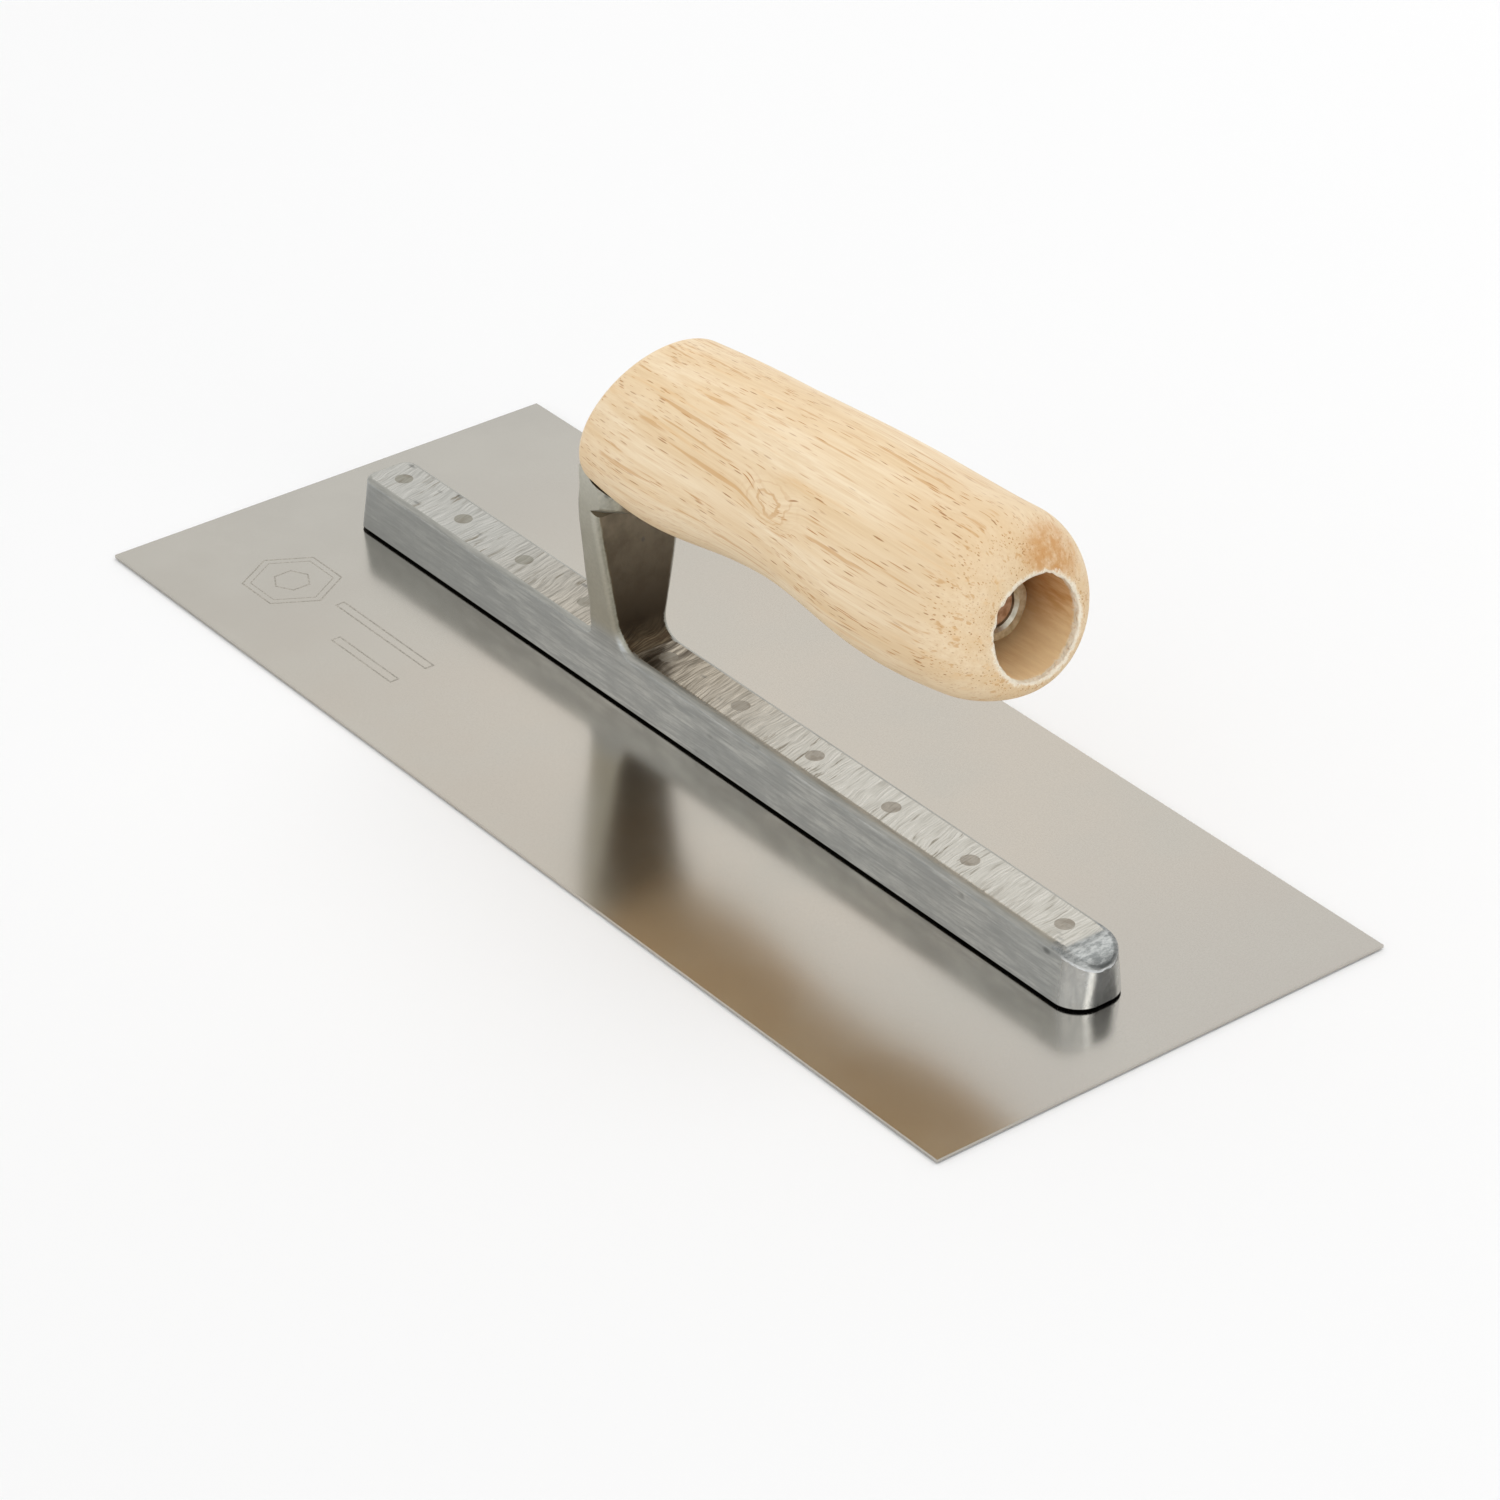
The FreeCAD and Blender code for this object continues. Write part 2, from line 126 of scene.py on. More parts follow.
class Tree:
    """Short calls for building a material's nodes."""

    def __init__(self, name):
        self.material = bpy.data.materials.new(name)
        self.material.use_nodes = True
        self.nodes = self.material.node_tree.nodes
        self.links = self.material.node_tree.links
        self.shader = self.nodes["Principled BSDF"]

    def put(self, socket, value):
        if isinstance(value, bpy.types.NodeSocket):
            self.links.new(value, socket)
        elif isinstance(value, (tuple, list)) and len(value) == 3 and socket.type == "RGBA":
            socket.default_value = (*value, 1.0)
        else:
            socket.default_value = value

    def node(self, kind, inputs=(), **settings):
        made = self.nodes.new(kind)
        for key, value in settings.items():
            setattr(made, key, value)
        for key, value in dict(inputs).items():
            self.put(made.inputs[key], value)
        return made

    def math(self, operation, a, b=0.0, c=0.0):
        return self.node("ShaderNodeMath", {0: a, 1: b, 2: c}, operation=operation).outputs[0]

    def plus(self, a, b):
        return self.math("ADD", a, b)

    def minus(self, a, b):
        return self.math("SUBTRACT", a, b)

    def times(self, first, *others):
        product = first
        for other in others:
            product = self.math("MULTIPLY", product, other)
        return product

    def absolute(self, value):
        return self.math("ABSOLUTE", value)

    def vector(self, operation, a, b):
        return self.node("ShaderNodeVectorMath", {0: a, 1: b}, operation=operation).outputs[0]

    def scaled(self, vector, factors):
        return self.vector("MULTIPLY", vector, factors)

    def length(self, vector):
        return self.node("ShaderNodeVectorMath", {0: vector}, operation="LENGTH").outputs["Value"]

    def place(self):
        """The point in the row frame, in metres."""
        return self.node("ShaderNodeTexCoord").outputs["Object"]

    def xyz(self, vector):
        return self.node("ShaderNodeSeparateXYZ", {0: vector}).outputs

    def combine(self, x, y, z):
        return self.node("ShaderNodeCombineXYZ", {0: x, 1: y, 2: z}).outputs[0]

    def noise(self, vector, scale=1.0, detail=3.0, roughness=0.5):
        inputs = {"Vector": vector, "Scale": scale, "Detail": detail, "Roughness": roughness}
        return self.node("ShaderNodeTexNoise", inputs).outputs[0]

    def cells(self, vector, scale=1.0):
        """Distance to the nearest of many scattered points."""
        return self.node("ShaderNodeTexVoronoi", {"Vector": vector, "Scale": scale}).outputs[0]

    def ramp(self, value, low, high, out_low=0.0, out_high=1.0, smooth=True):
        inputs = {0: value, 1: low, 2: high, 3: out_low, 4: out_high}
        shape = "SMOOTHSTEP" if smooth else "LINEAR"
        return self.node("ShaderNodeMapRange", inputs, interpolation_type=shape, clamp=True).outputs[0]

    def mix(self, factor, a, b):
        mixer = self.node("ShaderNodeMix", data_type="RGBA", blend_type="MIX")
        for index, value in ((0, factor), (6, a), (7, b)):
            self.put(mixer.inputs[index], value)
        return mixer.outputs[2]

    def bump(self, height, strength, distance, normal=None):
        inputs = {"Height": height, "Strength": strength, "Distance": distance}
        if normal is not None:
            inputs["Normal"] = normal
        return self.node("ShaderNodeBump", inputs).outputs[0]

    def finish(self, color=None, roughness=None, normal=None, **settings):
        for key, value in settings.items():
            self.put(self.shader.inputs[key.replace("_", " ")], value)
        for key, value in (("Base Color", color), ("Roughness", roughness), ("Normal", normal)):
            if value is not None:
                self.put(self.shader.inputs[key], value)
        return self.material


def linear(red, green, blue):
    """Linear colour of an sRGB colour given from 0 to 255."""
    parts = [v / 255 for v in (red, green, blue)]
    return tuple(v / 12.92 if v <= 10 / 255 else ((v + 0.055) / 1.055) ** 2.4 for v in parts)


def grey(value):
    return (value, value, value)


# ---------------------------------------------------------------- blade and mark

def blade_material():
    t = Tree("blade_steel")
    p = t.place()
    x, y = t.xyz(p)[:2]
    mottle = t.noise(p, 26.0, 4.0, 0.55)
    broad = t.noise(p, 7.0, 2.0)
    lines = t.noise(t.combine(t.times(x, 40.0), t.times(y, 3000.0), 0.0), detail=2.0)
    specks = t.noise(p, 2600.0, 2.0)
    # the sheet is darker toward its two ends
    along = t.plus(x, t.times(t.minus(broad, 0.5), 0.06))
    color = t.mix(t.ramp(along, -0.015, -0.150), linear(204, 196, 184), linear(186, 183, 175))
    color = t.mix(t.ramp(along, 0.050, 0.150), color, linear(193, 188, 180))
    color = t.mix(t.ramp(y, 0.0, -0.060, 0.0, 0.4), color, linear(184, 178, 167))
    color = t.mix(t.ramp(mottle, 0.35, 0.7, 0.0, 0.5), color, linear(196, 193, 184))
    color = t.mix(t.ramp(specks, 0.35, 0.7, 0.0, 0.14), color, linear(170, 164, 153))
    roughness = t.plus(t.ramp(mottle, *MIDDLE, 0.15, 0.19), t.ramp(lines, *MIDDLE, 0.0, 0.012))
    return t.finish(color, roughness, t.bump(specks, 0.03, 0.0001), Metallic=1.0)


def etch_material():
    t = Tree("etched_steel")
    grain = t.noise(t.place(), 2400.0, 3.0, 0.6)
    color = t.mix(t.ramp(grain, 0.35, 0.65), linear(150, 145, 135), linear(188, 182, 171))
    roughness = t.ramp(grain, *MIDDLE, 0.30, 0.42)
    return t.finish(color, roughness, t.bump(grain, 0.2, 0.00005), Metallic=0.95)


# ---------------------------------------------------------------- casting and fasteners

def grinding(t, p, x, y):
    """Fine marks across the top of the bar: a thin-line pattern and a sparse coarse one."""
    slanted = t.plus(x, t.times(y, 0.22))
    across = t.plus(slanted, t.times(t.noise(p, 70.0, 2.0), 0.004))
    flow = t.times(y, 90.0)
    fine = t.noise(t.combine(t.times(across, 2300.0), flow, 0.0), 1.0, 4.0, 0.7)
    coarse = t.noise(t.combine(t.times(across, 900.0), flow, 5.0), 1.0, 3.0, 0.6)
    return fine, coarse


def blasted_color(t, grain, soft, sideways):
    """The shank and head, with lighter flanks."""
    color = t.mix(t.ramp(grain, *MIDDLE), linear(158, 158, 148), linear(180, 179, 168))
    color = t.mix(t.ramp(soft, 0.4, 0.7, 0.0, 0.5), color, linear(150, 149, 137))
    return t.mix(t.times(t.ramp(sideways, 0.50, 0.85), 0.55), color, linear(212, 209, 196))


def scale_and_shade_mask(t, x, z, normal, sideways):
    """The front of the shank and its curved foot."""
    level = t.ramp(sideways, 0.42, 0.22)
    facing = t.times(t.ramp(normal[0], 0.80, 0.90), level)
    foot = t.times(t.ramp(normal[2], 0.996, 0.980), t.ramp(normal[0], 0.05, 0.12), level)
    return t.times(t.math("MAXIMUM", facing, foot), t.ramp(z, *SCALE_AND_SHADE_Z), t.math("LESS_THAN", x, 0.0))


def scale_and_shade_color(t, z, soft, scratch):
    """Dark brown that thins out towards the head: partly scale, partly painted shade and painted
    reflection of the wood under the handle, darkest at the foot.
    """
    # painted shade, darkest at the foot under the handle and lighter higher up
    climb = t.ramp(t.plus(z, t.times(soft, 0.006)), *SCALE_AND_SHADE_THINS_Z, smooth=False)
    color = t.mix(climb, linear(60, 47, 33), linear(158, 146, 126))
    color = t.mix(t.ramp(soft, 0.35, 0.7, 0.0, 0.45), color, linear(84, 72, 56))
    ground = t.times(t.ramp(z, 0.020, 0.0132), t.ramp(scratch, 0.42, 0.62))
    return t.mix(ground, color, linear(112, 100, 80))


def side_color(t, x, brush, cloud):
    """Lengthwise brushing and cloudy casting skin on the sides of the bar."""
    color = t.mix(t.ramp(brush, 0.32, 0.68), linear(186, 190, 191), linear(226, 229, 228))
    color = t.mix(t.ramp(cloud, 0.38, 0.62, 0.0, 0.65), color, linear(180, 183, 183))
    color = t.mix(t.ramp(cloud, 0.40, 0.30, 0.0, 0.5), color, linear(238, 240, 240))
    return t.mix(t.ramp(x, -0.03, -0.13, 0.0, 0.55), color, linear(172, 173, 170))


def edge_mask(t, z, normal, sideways):
    """The rounded upper edges of the bar."""
    turned = t.times(t.ramp(normal[2], 0.15, 0.40), t.ramp(sideways, 0.08, 0.16))
    return t.times(turned, t.ramp(z, *EDGE_LOW_Z), t.ramp(z, *EDGE_HIGH_Z))


def top_color(t, p, x, scratch, coarse):
    """The ground top of the bar, greyer behind the shank and warmer beside it."""
    ground = t.ramp(scratch, 0.3, 0.65)
    color = t.mix(ground, linear(182, 179, 169), linear(216, 213, 204))
    rear = t.mix(ground, linear(158, 158, 152), linear(196, 195, 189))
    color = t.mix(t.ramp(x, -0.020, -0.060, 0.0, 0.8), color, rear)
    ragged = t.plus(x, t.times(coarse, 0.012))
    ahead = t.times(t.ramp(ragged, 0.050, -0.008, 0.0, 0.85), t.math("GREATER_THAN", x, SHANK_X))
    behind = t.times(t.ramp(ragged, -0.085, -0.030, 0.0, 0.6), t.math("LESS_THAN", x, SHANK_X))
    warm = t.mix(t.ramp(scratch, 0.35, 0.62), linear(112, 98, 78), linear(190, 178, 158))
    color = t.mix(t.plus(ahead, behind), color, warm)
    patch = t.noise(t.scaled(p, (45.0, 45.0, 0.0)), detail=2.0)
    marks = t.times(t.ramp(coarse, 0.43, 0.34), t.ramp(patch, 0.42, 0.62, 0.25, 1.0))
    return t.mix(marks, color, linear(132, 124, 108))


def top_dark_patch_mask(t, x, top, coarse):
    """Darker brown on the top in front of the shank's foot."""
    extent = t.times(t.ramp(x, *TOP_DARK_PATCH_X), t.math("GREATER_THAN", x, TOP_DARK_PATCH_REAR_X))
    return t.times(extent, t.ramp(coarse, 0.62, 0.40), top, 0.85)


def casting_material():
    t = Tree("cast_metal")
    p = t.place()
    x, y, z = t.xyz(p)
    normal = t.xyz(t.node("ShaderNodeNewGeometry").outputs["Normal"])
    sideways = t.absolute(normal[1])
    scratch, coarse = grinding(t, p, x, y)
    brush = t.noise(t.combine(t.times(x, 90.0), t.times(y, 900.0), t.times(z, 1500.0)), 1.0, 5.0, 0.65)
    cloud = t.noise(t.scaled(p, (0.45, 1.0, 1.2)), 130.0, 6.0, 0.7)
    grain = t.noise(p, 1400.0, 3.0, 0.6)
    soft = t.noise(p, 160.0, 3.0, 0.6)
    file_marks = t.noise(t.scaled(p, (1.0, 0.4, 1.0)), 1100.0, 4.0, 0.7)
    buffing = t.noise(t.scaled(p, (1.0, 1.0, 0.25)), 900.0, 4.0, 0.65)
    # where each finish lies
    front = scale_and_shade_mask(t, x, z, normal, sideways)
    side = t.times(t.ramp(sideways, 0.60, 0.85), t.ramp(z, *SIDE_Z))
    edge = edge_mask(t, z, normal, sideways)
    top = t.times(t.ramp(normal[2], 0.975, 0.992), t.ramp(z, *TOP_Z))
    bevel = t.times(t.ramp(x, *BEVEL_X), t.ramp(normal[2], 0.22, 0.50), t.ramp(normal[2], 1.0, 0.985))
    polish = t.times(t.ramp(x, *POLISH_X), t.ramp(normal[2], 0.50, 0.22))
    # colours, each laid over the one before
    color = blasted_color(t, grain, soft, sideways)
    color = t.mix(front, color, scale_and_shade_color(t, z, soft, scratch))
    color = t.mix(side, color, side_color(t, x, brush, cloud))
    edge_color = t.mix(t.ramp(brush, *MIDDLE), linear(158, 158, 152), linear(184, 183, 176))
    color = t.mix(t.times(edge, 0.9), color, edge_color)
    color = t.mix(top, color, top_color(t, p, x, scratch, coarse))
    color = t.mix(top_dark_patch_mask(t, x, top, coarse), color, linear(74, 62, 46))
    filed = t.mix(t.ramp(file_marks, 0.35, 0.65), linear(128, 131, 130), linear(172, 174, 172))
    color = t.mix(bevel, color, filed)
    polished = t.mix(t.ramp(buffing, 0.35, 0.65), linear(204, 207, 208), linear(218, 220, 220))
    color = t.mix(polish, color, polished)
    # small dark nicks, and painted shade in the gap where the bar stands off the blade
    nick = t.ramp(t.cells(t.scaled(p, (0.45, 1.0, 0.8)), 210.0), 0.16, 0.05)
    nick = t.times(nick, t.ramp(t.noise(p, 70.0, 2.0), 0.48, 0.58), 0.55)
    color = t.mix(nick, color, linear(88, 90, 88))
    color = t.mix(t.ramp(z, *STANDOFF_SHADE_Z), color, linear(36, 32, 27))
    # gloss and relief
    roughness = t.mix(top, t.ramp(cloud, *MIDDLE, 0.36, 0.48), t.ramp(scratch, *MIDDLE, 0.36, 0.25))
    roughness = t.mix(t.math("MAXIMUM", front, edge), roughness, grey(0.52))
    roughness = t.mix(polish, roughness, t.ramp(soft, *MIDDLE, 0.18, 0.28))
    height = t.mix(bevel, t.mix(top, t.mix(side, grain, brush), scratch), file_marks)
    strength = t.mix(polish, t.mix(bevel, grey(0.18), grey(0.5)), grey(0.05))
    bump = t.bump(height, strength, 0.00014)
    bump = t.bump(cloud, 0.20, 0.0005, bump)
    return t.finish(color, roughness, bump, Metallic=0.92)


def rivet_material():
    t = Tree("rivet_steel")
    p = t.place()
    x, y = t.xyz(p)[:2]
    grain = t.noise(p, 900.0, 4.0, 0.6)
    blot = t.noise(p, 350.0, 2.0)
    scratch, coarse = grinding(t, p, x, y)
    color = t.mix(t.ramp(grain, *MIDDLE), linear(146, 139, 128), linear(172, 166, 155))
    color = t.mix(t.ramp(x, 0.035, -0.015, 0.0, 0.7), color, linear(134, 124, 106))
    color = t.mix(t.ramp(x, -0.030, -0.060, 0.0, 0.65), color, linear(142, 143, 133))
    color = t.mix(t.ramp(scratch, 0.38, 0.62, 0.0, 0.45), color, linear(188, 182, 170))
    color = t.mix(t.ramp(blot, 0.5, 0.65, 0.0, 0.4), color, linear(124, 113, 98))
    color = t.mix(t.ramp(coarse, 0.42, 0.34, 0.0, 0.6), color, linear(116, 108, 94))
    roughness = t.ramp(grain, *MIDDLE, 0.36, 0.48)
    return t.finish(color, roughness, t.bump(scratch, 0.2, 0.0001), Metallic=0.88)


def turned_metal(name, light, dark, roughness):
    t = Tree(name)
    p = t.place()
    grain = t.noise(p, 700.0, 3.0, 0.6)
    turn = t.noise(t.scaled(p, (300.0, 2500.0, 2500.0)), detail=2.0)
    color = t.mix(t.ramp(grain, *MIDDLE), dark, light)
    rough = t.ramp(grain, *MIDDLE, roughness, roughness + 0.12)
    return t.finish(color, rough, t.bump(turn, 0.15, 0.0001), Metallic=0.9)


# ---------------------------------------------------------------- wood

def bore_distance(t, x, y, z):
    """Distance from the rod's axis."""
    start = (ROD_START[1] - ROD_START[0] * ROD_SLOPE) * MM
    off = t.minus(z, t.math("MULTIPLY_ADD", x, ROD_SLOPE, start))
    return t.math("SQRT", t.plus(t.math("POWER", y, 2.0), t.math("POWER", off, 2.0)))


def mouth_distance(t, x, z):
    """Distance in front of the plane of the mouth."""
    lean = t.times(t.minus(z, MOUTH_CENTRE[1] * MM), -FRONT_RAKE)
    return t.minus(t.plus(x, lean), MOUTH_CENTRE[0] * MM)


def with_pores(t, color, along_grain, clump):
    """Dashes along the grain, which are dots on the end grain."""
    kinds = [((60.0, 1750.0), (0.42, 0.54), linear(190, 130, 68), 0.95),
             ((120.0, 1350.0), (0.47, 0.56), linear(166, 108, 54), 0.85),
             ((85.0, 2350.0), (0.42, 0.54), linear(196, 142, 84), 0.8)]
    for (kx, kyz), kept, dark, weight in kinds:
        pore = t.ramp(t.cells(along_grain(kx, kyz)), 0.26, 0.13)
        gate = t.ramp(t.noise(along_grain(kx * 0.45, kyz * 0.4), detail=1.0), *kept)
        color = t.mix(t.times(pore, gate, clump, weight), color, dark)
    return color


def bore_color(t, x, y, z):
    """Scorched streaks along the counterbore, darker deep inside, with painted light on its lower
    wall.
    """
    burn = t.noise(t.combine(t.times(x, 120.0), t.times(y, 650.0), t.times(z, 650.0)), 1.0, 4.0, 0.65)
    color = t.mix(t.ramp(burn, 0.32, 0.68), linear(214, 158, 92), linear(248, 212, 160))
    # painted light: the lower wall is lighter where light falls into the bore
    color = t.mix(t.ramp(z, 0.081, 0.069, 0.0, 0.72), color, linear(255, 228, 180))
    deep = t.ramp(t.minus(x, t.times(t.minus(z, 0.077), 0.9)), 0.104, 0.083)
    return t.mix(t.times(deep, 0.7), color, linear(176, 112, 54))


def dome_stain_mask(t, p, torn):
    distance = t.length(t.vector("SUBTRACT", p, DOME_STAIN))
    distance = t.plus(distance, t.times(t.minus(torn, 0.5), 0.006))
    blotch = t.noise(t.scaled(p, (0.4, 1.0, 1.0)), 420.0, 4.0, 0.7)
    return t.times(t.ramp(distance, 0.0100, 0.0035), t.ramp(blotch, 0.30, 0.60, 0.25, 1.0), 0.85)


def wood_material():
    t = Tree("handle_wood")
    p = t.place()
    x, y, z = t.xyz(p)
    from_knot_vector = t.scaled(t.vector("SUBTRACT", p, KNOT), (0.55, 1.0, 1.0))
    from_knot = t.length(from_knot_vector)
    near_knot = t.ramp(from_knot, 0.0065, 0.0008)
    # the grain bends round the knot and wanders a little
    drift = t.noise(t.scaled(p, (0.35, 1.0, 1.0)), 38.0, 2.0)
    swing = t.plus(t.times(drift, 0.0030), t.times(near_knot, 0.0022))
    grain_y = t.plus(y, t.times(swing, 0.6))
    grain_z = t.plus(z, swing)

    def along_grain(kx, kyz):
        return t.combine(t.times(x, kx), t.times(grain_y, kyz), t.times(grain_z, kyz))

    band = t.noise(along_grain(7.0, 150.0), 1.0, 3.0, 0.55)
    fibre = t.noise(along_grain(40.0, 1300.0), 1.0, 3.0, 0.65)
    patch = t.noise(p, 30.0, 2.0)
    color = t.mix(t.ramp(band, 0.36, 0.64), linear(238, 212, 173), linear(248, 229, 198))
    color = t.mix(t.ramp(fibre, 0.30, 0.66, 0.42, 0.0), color, linear(220, 186, 138))
    color = t.mix(t.ramp(patch, 0.45, 0.75, 0.0, 0.35), color, linear(232, 200, 156))
    # a little darker towards the front, and painted shade on the underside
    color = t.mix(t.ramp(x, 0.055, 0.088, 0.0, 0.40), color, linear(226, 197, 156))
    color = t.mix(t.ramp(z, 0.068, 0.056, 0.0, 0.45), color, linear(224, 194, 154))
    clump = t.times(t.ramp(band, 0.62, 0.42, 0.40, 1.0), t.ramp(x, -0.030, 0.050, 0.75, 1.0))
    color = with_pores(t, color, along_grain, clump)
    streak = t.noise(along_grain(26.0, 760.0), detail=2.0)
    color = t.mix(t.times(t.ramp(streak, 0.60, 0.70), 0.6), color, linear(208, 160, 102))
    glow = t.noise(along_grain(12.0, 330.0), 1.0, 3.0, 0.6)
    color = t.mix(t.ramp(glow, 0.56, 0.70, 0.0, 0.38), color, linear(230, 188, 130))
    # the knot
    curl = t.noise(from_knot_vector, 420.0, 2.0)
    ring = t.math("SINE", t.times(t.plus(from_knot, t.times(curl, 0.004)), 3600.0))
    color = t.mix(t.times(t.ramp(ring, 0.2, 0.9), near_knot, 0.6), color, linear(206, 158, 100))
    # the bored end and its torn rim
    torn = t.noise(p, 800.0, 3.0, 0.7)
    fray = t.times(t.minus(torn, 0.5), 0.0030)
    ahead = t.plus(mouth_distance(t, x, z), fray)
    reach = bore_distance(t, x, y, z)
    inside = t.times(t.ramp(reach, *BORE_WALL), t.ramp(x, *BORE_X), t.ramp(ahead, -0.0001, -0.0009))
    color = t.mix(dome_stain_mask(t, p, torn), color, linear(208, 150, 86))
    color = t.mix(inside, color, bore_color(t, x, y, z))
    from_rim = t.plus(t.absolute(t.minus(reach, BORE_RIM_RADIUS)), fray)
    rim = t.times(t.ramp(from_rim, 0.0011, 0.0001), t.ramp(ahead, -0.0022, -0.0012))
    color = t.mix(t.times(rim, 0.85), color, linear(255, 246, 226))
    height = t.minus(t.times(fibre, 0.6), t.times(streak, 0.3))
    bump = t.bump(height, 0.30, 0.00020)
    bump = t.bump(torn, t.times(rim, 0.9), 0.0008, bump)
    return t.finish(color, t.ramp(fibre, *MIDDLE, 0.50, 0.62), bump, Specular_IOR_Level=0.3)


def floor_material():
    t = Tree("studio_floor")
    soft = t.noise(t.place(), 3.0, 2.0)
    return t.finish(t.mix(soft, grey(0.93), grey(0.95)), Roughness=0.9, Specular_IOR_Level=0.1)


# ---------------------------------------------------------------- handle mesh

def natural_spline(xs, ys):
    """A function through the points with no bend at its ends."""
    xs = np.array(xs, float)
    ys = np.array(ys, float)
    gap = np.diff(xs)
    count = len(xs)
    system = np.eye(count)
    right = np.zeros(count)
    for i in range(1, count - 1):
        system[i, i - 1:i + 2] = gap[i - 1], 2 * (gap[i - 1] + gap[i]), gap[i]
        right[i] = 6 * ((ys[i + 1] - ys[i]) / gap[i] - (ys[i] - ys[i - 1]) / gap[i - 1])
    bend = np.linalg.solve(system, right)

    def at(x):
        i = int(np.clip(np.searchsorted(xs, x) - 1, 0, count - 2))
        a = (xs[i + 1] - x) / gap[i]
        b = (x - xs[i]) / gap[i]
        curve = (a ** 3 - a) * bend[i] + (b ** 3 - b) * bend[i + 1]
        return a * ys[i] + b * ys[i + 1] + curve * gap[i] ** 2 / 6
    return at


station_xs = [station[0] for station in HANDLE_STATIONS]
grip_centre = natural_spline(station_xs, [station[1] for station in HANDLE_STATIONS])
grip_radius = natural_spline(station_xs, [station[2] - GRIP_EASE for station in HANDLE_STATIONS])
ring_angles = np.linspace(0, 2 * np.pi, RING_POINTS, endpoint=False)


def axis_z(x):
    """Height of the rod's axis."""
    return ROD_START[1] + (x - ROD_START[0]) * ROD_SLOPE


def section_rake(x):
    if x < RAKE_FADES_X:
        return REAR_RAKE * (RAKE_FADES_X - x) / (RAKE_FADES_X - HANDLE_STATIONS[0][0])
    return FRONT_RAKE * max(0.0, x - FRONT_RAKE_STARTS_X) / (MOUTH_CENTRE[0] - FRONT_RAKE_STARTS_X)


def ring_of(x, centre_z, radius, lean):
    height = radius * np.sin(ring_angles)
    return np.stack([x + lean * height, radius * np.cos(ring_angles), centre_z + height], axis=1)


def grip_ring(x, inset=0.0):
    return ring_of(x, grip_centre(x), grip_radius(x) - inset, section_rake(x))


def between(first, last, steps):
    """Rings from first to last, with neither of them."""
    return [first + (last - first) * w for w in np.linspace(0, 1, steps)[1:-1]]


def smooth_noise(rng, count, waves):
    """Random values round a ring, from -1 to 1 or so, with no bump narrower than count / waves."""
    knots = rng.uniform(-1, 1, waves)
    spots = np.linspace(0, waves, count, endpoint=False)
    low = spots.astype(int)
    part = spots - low
    part = part * part * (3 - 2 * part)
    return knots[low % waves] * (1 - part) + knots[(low + 1) % waves] * part


def rear_rings(hole):
    """The raked rear face, from the rod's hole out, and its rounded edge."""
    rear_x, rear_z, rear_radius = HANDLE_STATIONS[0]
    flat_radius = rear_radius - GRIP_EASE - REAR_ROUNDING
    flat = ring_of(rear_x, rear_z, flat_radius, section_rake(rear_x))
    rings = [hole] + between(hole, flat, 6)
    for turn in np.linspace(0, math.pi / 2, 9)[:-1]:
        x = rear_x + REAR_ROUNDING * (1 - math.cos(turn))
        rings.append(grip_ring(x, REAR_ROUNDING * (1 - math.sin(turn))))
    return rings


def dome_rings(dome_x, mouth):
    """The open end, rounding over to a chipped mouth."""
    rng = np.random.default_rng(7)
    chips = sum(smooth_noise(rng, RING_POINTS, waves) * depth for waves, depth in CHIPS)
    rings = []
    for turn in np.linspace(0, math.pi / 2, 30):
        x = dome_x + DOME_LENGTH * math.sin(turn)
        ring = grip_ring(x)
        over = 1 - math.cos(turn)
        ring[:, 1:] += (mouth[:, 1:] - ring[:, 1:]) * over
        ring[:, 0] = x + section_rake(x) * (ring[:, 2] - grip_centre(x))
        fray = max(0.0, (over - CHIPS_START) / (1 - CHIPS_START))
        ring[:, 0] -= np.abs(chips) * fray
        ring[:, 1] += np.cos(ring_angles) * chips * fray
        ring[:, 2] += np.sin(ring_angles) * chips * fray
        rings.append(ring)
    return rings


def bore_rings(lip, hole):
    """The counterbore, its floor and the rod's hole, back to the rear face."""
    mouth_z = axis_z(MOUTH_CENTRE[0])
    lip_x = MOUTH_CENTRE[0] + FRONT_RAKE * (mouth_z - MOUTH_CENTRE[1]) - MOUTH_LIP
    first = ring_of(lip_x, mouth_z - MOUTH_LIP * ROD_SLOPE, MOUTH_RADIUS, FRONT_RAKE)
    floor_z = axis_z(COUNTERBORE_FLOOR)
    bore_floor = ring_of(COUNTERBORE_FLOOR, floor_z, MOUTH_RADIUS, -ROD_SLOPE)
    inner = ring_of(COUNTERBORE_FLOOR, floor_z, ROD_HOLE_RADIUS, -ROD_SLOPE)
    rings = [lip + (first - lip) * w for w in (0.25, 0.6, 1.0)]
    rings += between(first, bore_floor, 12) + [bore_floor]
    rings += between(bore_floor, inner, 5) + [inner]
    return rings + between(inner, hole, 16)


def mesh_from_rings(name, rings):
    """A closed mesh of the rings, joined in order and last to first."""
    count = len(rings[0])
    points = np.concatenate(rings) * MM
    faces = []
    for i in range(len(rings)):
        a = i * count
        b = ((i + 1) % len(rings)) * count
        for k in range(count):
            n = (k + 1) % count
            faces.append((a + k, a + n, b + n, b + k))
    mesh = bpy.data.meshes.new(name)
    mesh.from_pydata([tuple(point) for point in points], [], faces)
    mesh.validate()
    mesh.update()
    made = bpy.data.objects.new(name, mesh)
    scene.collection.objects.link(made)
    for polygon in mesh.polygons:
        polygon.use_smooth = True
    return made


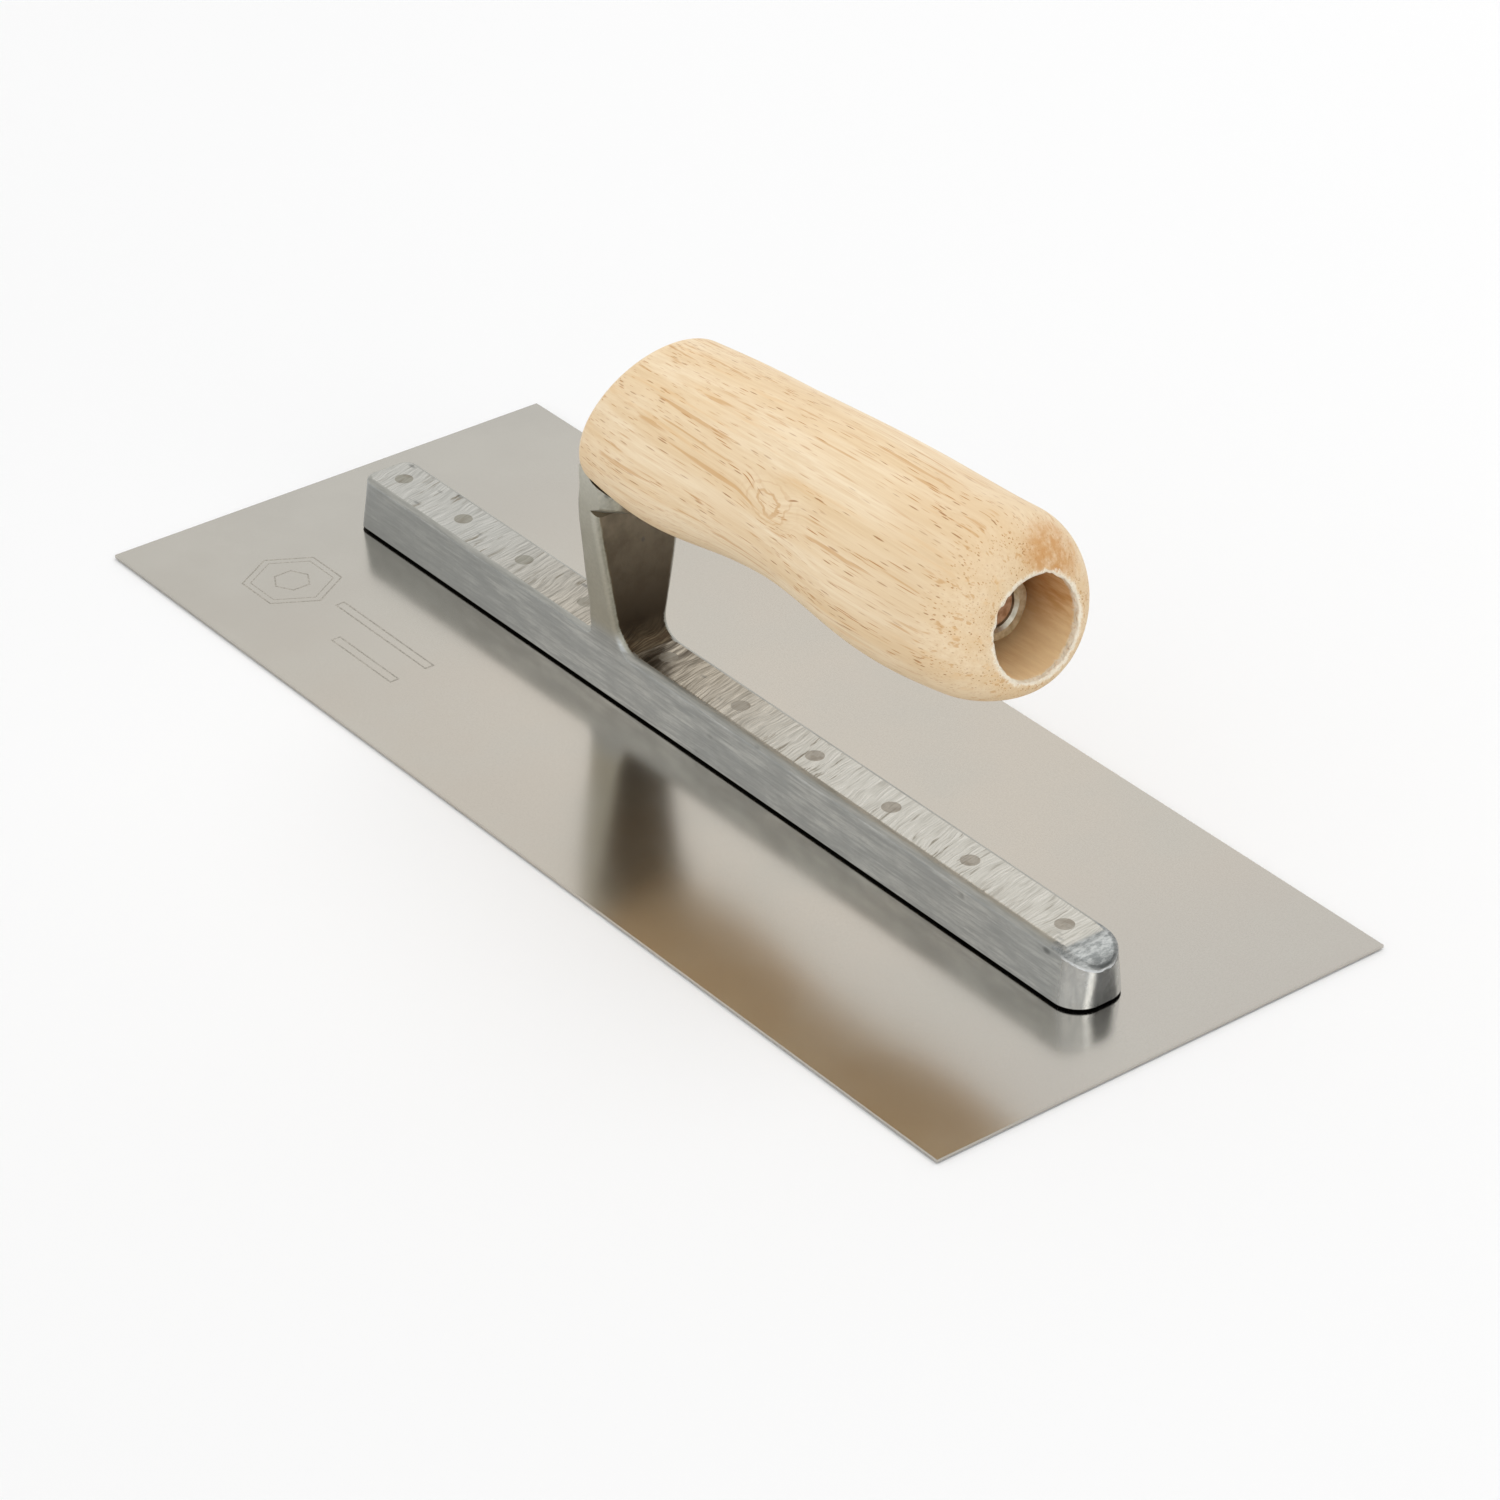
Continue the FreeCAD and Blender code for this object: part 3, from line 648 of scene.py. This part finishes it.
def make_handle():
    rear_x, rear_z, _ = HANDLE_STATIONS[0]
    seat_lean = section_rake(rear_x)
    hole_z = axis_z(rear_x)
    hole = ring_of(rear_x + seat_lean * (hole_z - rear_z), hole_z, ROD_HOLE_RADIUS, seat_lean)
    mouth_x, centre_z = MOUTH_CENTRE
    mouth_z = axis_z(mouth_x)
    mouth = ring_of(mouth_x + FRONT_RAKE * (mouth_z - centre_z), mouth_z, MOUTH_RADIUS, FRONT_RAKE)
    dome_x = mouth_x - DOME_LENGTH
    rings = rear_rings(hole)
    rings += [grip_ring(x) for x in np.linspace(rear_x + REAR_ROUNDING, dome_x, 90)[:-1]]
    rings += dome_rings(dome_x, mouth)
    rings += bore_rings(rings[-1], hole)
    return mesh_from_rings("handle_wood_grip", rings)


# ---------------------------------------------------------------- etched mark

def plate(name, loops):
    """Thin closed plates on the blade, each between an outer and an inner outline of (x, y)."""
    low = (BLADE_TOP - MARK_DEPTH) * MM
    high = (BLADE_TOP + MARK_HEIGHT) * MM
    points = []
    faces = []
    for outer, inner in loops:
        start = len(points)
        count = len(outer)
        for outline, z in ((outer, low), (outer, high), (inner, low), (inner, high)):
            points += [(x * MM, y * MM, z) for x, y in outline]
        for k in range(count):
            n = (k + 1) % count
            for a, b in ((0, 1), (1, 3), (3, 2), (2, 0)):
                one = start + count * a
                other = start + count * b
                faces.append([one + k, one + n, other + n, other + k])
    mesh = bpy.data.meshes.new(name)
    mesh.from_pydata(points, [], faces)
    mesh.validate()
    made = bpy.data.objects.new(name, mesh)
    scene.collection.objects.link(made)
    return made


def hexagon(centre, radius, turn):
    angles = [math.pi / 3 * i + turn for i in range(6)]
    return [(centre[0] + radius * math.cos(a), centre[1] + radius * math.sin(a)) for a in angles]


def bar_outline(corner, length, inset):
    left = corner[0] + inset
    right = corner[0] + length - inset
    low = corner[1] + inset
    high = corner[1] + MARK_BAR_WIDTH - inset
    return [(left, low), (right, low), (right, high), (left, high)]


def make_mark():
    loops = []
    for radius, width, turn in MARK_HEXAGONS:
        loops.append((hexagon(MARK_CENTRE, radius, turn), hexagon(MARK_CENTRE, radius - width, turn)))
    for corner, length in MARK_BARS:
        loops.append((bar_outline(corner, length, 0.0), bar_outline(corner, length, MARK_BAR_LINE)))
    return plate("etched_mark", loops)


# ---------------------------------------------------------------- studio

def world_patch(tree, seen, direction, low, high, strength):
    """A patch of the surroundings about a direction, from 0 at its edge to strength at its middle."""
    dot = tree.nodes.new("ShaderNodeVectorMath")
    dot.operation = "DOT_PRODUCT"
    dot.inputs[1].default_value = Vector(direction).normalized()
    tree.links.new(seen, dot.inputs[0])
    reach = tree.nodes.new("ShaderNodeMapRange")
    reach.interpolation_type = "SMOOTHSTEP"
    for index, value in enumerate((low, high, 0.0, strength), 1):
        reach.inputs[index].default_value = value
    tree.links.new(dot.outputs["Value"], reach.inputs[0])
    return reach.outputs[0]


def make_world():
    world = bpy.data.worlds.new("studio")
    scene.world = world
    world.use_nodes = True
    tree = world.node_tree
    seen = tree.nodes.new("ShaderNodeTexCoord").outputs["Generated"]
    level = tree.nodes.new("ShaderNodeValue").outputs[0]
    level.default_value = WORLD_LEVEL
    for patch in WORLD_PATCHES:
        total = tree.nodes.new("ShaderNodeMath")
        tree.links.new(level, total.inputs[0])
        tree.links.new(world_patch(tree, seen, *patch), total.inputs[1])
        level = total.outputs[0]
    background = tree.nodes["Background"]
    background.inputs[0].default_value = (1.0, 1.0, 1.0, 1.0)
    tree.links.new(level, background.inputs[1])


def soft_light(name, place, target, size, power):
    lamp = bpy.data.lights.new(name, "AREA")
    lamp.shape = "RECTANGLE"
    lamp.size, lamp.size_y = size
    lamp.energy = power
    made = bpy.data.objects.new(name, lamp)
    made.location = place
    made.rotation_euler = (Vector(target) - Vector(place)).to_track_quat("-Z", "Y").to_euler()
    scene.collection.objects.link(made)


def make_camera():
    toward_camera = Vector((math.sin(AZIMUTH), -math.cos(AZIMUTH), 0)) * math.cos(ELEVATION)
    back = toward_camera + Vector((0, 0, math.sin(ELEVATION)))
    level_right = Vector((math.cos(AZIMUTH), math.sin(AZIMUTH), 0))
    level_up = back.cross(level_right)
    right = math.cos(ROLL) * level_right + math.sin(ROLL) * level_up
    up = math.cos(ROLL) * level_up - math.sin(ROLL) * level_right
    lens = bpy.data.cameras.new("camera")
    lens.lens = LENS
    lens.sensor_width = SENSOR_WIDTH
    lens.shift_x = SHIFT_X
    made = bpy.data.objects.new("camera", lens)
    turned = Matrix((right, up, back)).transposed().to_4x4()
    made.matrix_world = Matrix.Translation(CAMERA_PLACE) @ turned
    scene.collection.objects.link(made)
    return made


# ---------------------------------------------------------------- build

def assign(node, material):
    mesh = nodes[node].data
    mesh.materials.clear()
    mesh.materials.append(material)


assign("blade", blade_material())
assign("mounting", casting_material())
assign("rivets", rivet_material())
assign("handle_nut", turned_metal("zinc_steel", linear(206, 203, 190), linear(176, 170, 152), 0.28))
assign("handle_washer", nodes["handle_nut"].data.materials[0])
assign("handle_rod", turned_metal("rod_steel", linear(196, 164, 138), linear(158, 122, 96), 0.42))

handle = make_handle()
handle.data.materials.append(wood_material())
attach(handle, "root")
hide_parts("handle")

mark = make_mark()
mark.data.materials.append(etch_material())
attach(mark, "root")

bpy.ops.mesh.primitive_plane_add(size=FLOOR_SIZE, location=(0, 0, FLOOR_Z))
floor = bpy.context.object
floor.name = "studio_floor"
floor.data.materials.append(floor_material())

make_world()
soft_light("key", (0.3, 0.9, 1.6), (0, 0, 0.03), (1.2, 1.2), 6.0)
camera = make_camera()
bpy.context.scene.camera = camera

scene.view_settings.view_transform = "Standard"
